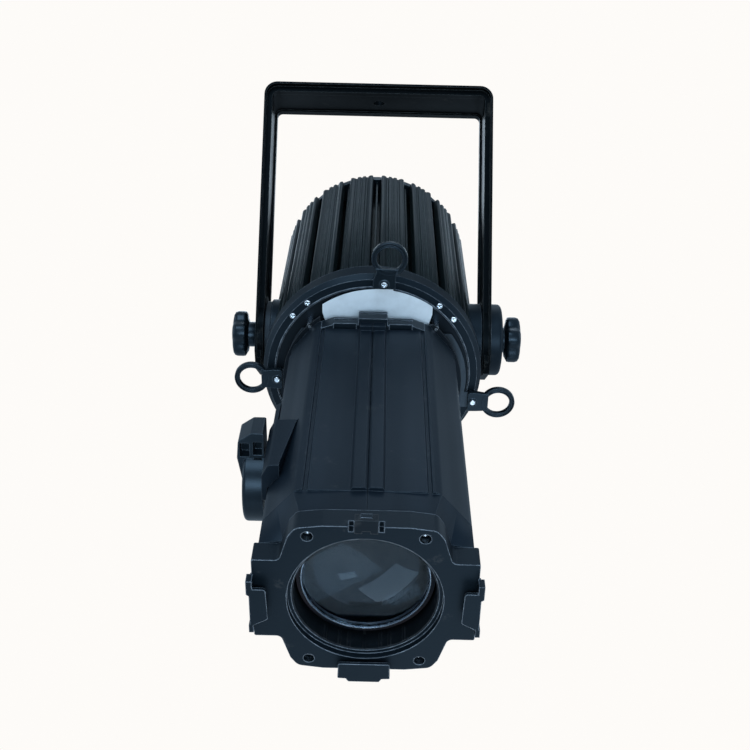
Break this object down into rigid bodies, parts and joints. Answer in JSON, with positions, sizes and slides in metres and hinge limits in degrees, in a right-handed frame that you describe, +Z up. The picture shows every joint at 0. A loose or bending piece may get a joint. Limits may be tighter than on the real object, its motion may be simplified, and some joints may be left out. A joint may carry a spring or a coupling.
{
  "type": "ellipsoidal spotlight",
  "caption": "Profile stage spotlight hung from a yoke: finned lamp housing, framing shutters, split lens barrel with focus knob and accessory-frame clips.",
  "frame": {"origin": "middle of the clamp hole in the yoke's top bar", "axes": "+Z up out of the clamp hole, -Y to the front of the lamp, +X to the right seen from the front"},
  "size_m": [0.3121, 0.6175, 0.5956],
  "materials": {
    "yoke_coat": "satin black powder coat",
    "bush_nylon": "matte",
    "cast_black": "black powder coat on a casting",
    "housing_black": "satin black coat on an extrusion",
    "barrel_black": "fine-texture black coat",
    "moulded_black": "satin moulded",
    "bright_screw": "bright zinc",
    "shutter_steel": "light grey sheet",
    "inner_black": "matt black",
    "lens_glass": "polished",
    "bare_aluminium": "bare",
    "chip_board": "matte",
    "driver_case": "matte",
    "fan_plastic": "satin",
    "display_plastic": "gloss",
    "button_rubber": "matte",
    "socket_plastic": "satin"
  },
  "bodies": {
    "yoke": {"yoke_bracket": "yoke_coat", "pivot_bushes": "bush_nylon", "clutch_disc": "cast_black"},
    "head": {"barrel_left": "barrel_black", "barrel_right": "barrel_black", "casing_screws": "bright_screw", "condenser_lens": "lens_glass", "condenser_mount": "inner_black", "control_board": "chip_board", "data_sockets": "socket_plastic", "display_window": "display_plastic", "fan_frame": "fan_plastic", "finned_housing": "housing_black", "focus_guide": "barrel_black", "front_flange": "cast_black", "front_plate": "cast_black", "fuse_cap": "moulded_black", "gate_bulkhead": "inner_black", "gate_casting": "cast_black", "heat_plate": "bare_aluminium", "led_driver": "driver_case", "led_module": "chip_board", "left_friction_disc": "bush_nylon", "left_pivot_boss": "cast_black", "pivot_studs": "bright_screw", "power_inlet": "socket_plastic", "rear_cap": "cast_black", "reflector": "bare_aluminium", "right_pivot_boss": "cast_black", "safety_eye": "bright_screw", "shutter_guide": "inner_black", "shutter_posts": "bright_screw", "side_clips": "cast_black"},
    "left_knob": {"left_tilt_knob": "moulded_black"},
    "right_knob": {"right_tilt_knob": "moulded_black"},
    "focus_carriage": {"lens_tube": "inner_black", "front_lens": "lens_glass", "rear_lens": "lens_glass", "lens_retainer": "inner_black", "focus_stud": "bright_screw"},
    "focus_knob": {"focus_knob": "moulded_black"},
    "latch": {"frame_latch": "inner_black"},
    "pattern": {"pattern_holder": "inner_black"},
    "fan": {"fan_rotor": "fan_plastic"},
    "top_shutter": {"top_blade": "shutter_steel", "top_shutter_handle": "moulded_black", "top_shutter_screw": "bright_screw"},
    "right_shutter": {"right_blade": "shutter_steel", "right_shutter_handle": "moulded_black", "right_shutter_screw": "bright_screw"},
    "bottom_shutter": {"bottom_blade": "shutter_steel", "bottom_shutter_handle": "moulded_black", "bottom_shutter_screw": "bright_screw"},
    "left_shutter": {"left_blade": "shutter_steel", "left_shutter_handle": "moulded_black", "left_shutter_screw": "bright_screw"},
    "menu_button": {"menu_button": "button_rubber"},
    "down_button": {"down_button": "button_rubber"},
    "up_button": {"up_button": "button_rubber"},
    "enter_button": {"enter_button": "button_rubber"}
  },
  "joints": [
    {"name": "tilt", "type": "hinge", "parent": "yoke", "child": "head", "pos_m": [0, 0, -0.2687], "axis": [1, 0, 0], "range_deg": [-86, 51]},
    {"name": "left_knob_turn", "type": "hinge", "parent": "head", "child": "left_knob", "pos_m": [-0.14, 0, -0.2687], "axis": [-1, 0, 0], "range_deg": [0, 270]},
    {"name": "right_knob_turn", "type": "hinge", "parent": "head", "child": "right_knob", "pos_m": [0.148, 0, -0.2687], "axis": [1, 0, 0], "range_deg": [0, 270]},
    {"name": "focus_slide", "type": "slide", "parent": "head", "child": "focus_carriage", "axis": [0, 0.7848, 0.6198], "range_m": [0, 0.05]},
    {"name": "focus_knob_turn", "type": "hinge", "parent": "focus_carriage", "child": "focus_knob", "pos_m": [-0.105, -0.21032, -0.4348], "axis": [-1, 0, 0], "range_deg": [0, 180]},
    {"name": "top_shutter_slide", "type": "slide", "parent": "head", "child": "top_shutter", "axis": [0, 0.6198, -0.7848], "range_m": [0, 0.036]},
    {"name": "right_shutter_slide", "type": "slide", "parent": "head", "child": "right_shutter", "axis": [-1, 0, 0], "range_m": [0, 0.032]},
    {"name": "bottom_shutter_slide", "type": "slide", "parent": "head", "child": "bottom_shutter", "axis": [0, -0.6198, 0.7848], "range_m": [0, 0.032]},
    {"name": "left_shutter_slide", "type": "slide", "parent": "head", "child": "left_shutter", "axis": [1, 0, 0], "range_m": [-0.0075, 0.0245]},
    {"name": "pattern_slide", "type": "slide", "parent": "head", "child": "pattern", "axis": [0, -0.6198, 0.7848], "range_m": [0, 0.08]},
    {"name": "latch_turn", "type": "hinge", "parent": "head", "child": "latch", "pos_m": [0, -0.37328, -0.46564], "axis": [-1, 0, 0], "range_deg": [0, 100]},
    {"name": "fan_spin", "type": "hinge", "parent": "head", "child": "fan", "pos_m": [0, 0.0463, -0.23213], "axis": [0, 0.7848, 0.6198], "continuous": true},
    {"name": "menu_press", "type": "slide", "parent": "head", "child": "menu_button", "axis": [0, -0.7848, -0.6198], "range_m": [0, 0.0015], "stiffness_N_per_m": 300},
    {"name": "down_press", "type": "slide", "parent": "head", "child": "down_button", "axis": [0, -0.7848, -0.6198], "range_m": [0, 0.0015], "stiffness_N_per_m": 300},
    {"name": "up_press", "type": "slide", "parent": "head", "child": "up_button", "axis": [0, -0.7848, -0.6198], "range_m": [0, 0.0015], "stiffness_N_per_m": 300},
    {"name": "enter_press", "type": "slide", "parent": "head", "child": "enter_button", "axis": [0, -0.7848, -0.6198], "range_m": [0, 0.0015], "stiffness_N_per_m": 300}
  ]
}
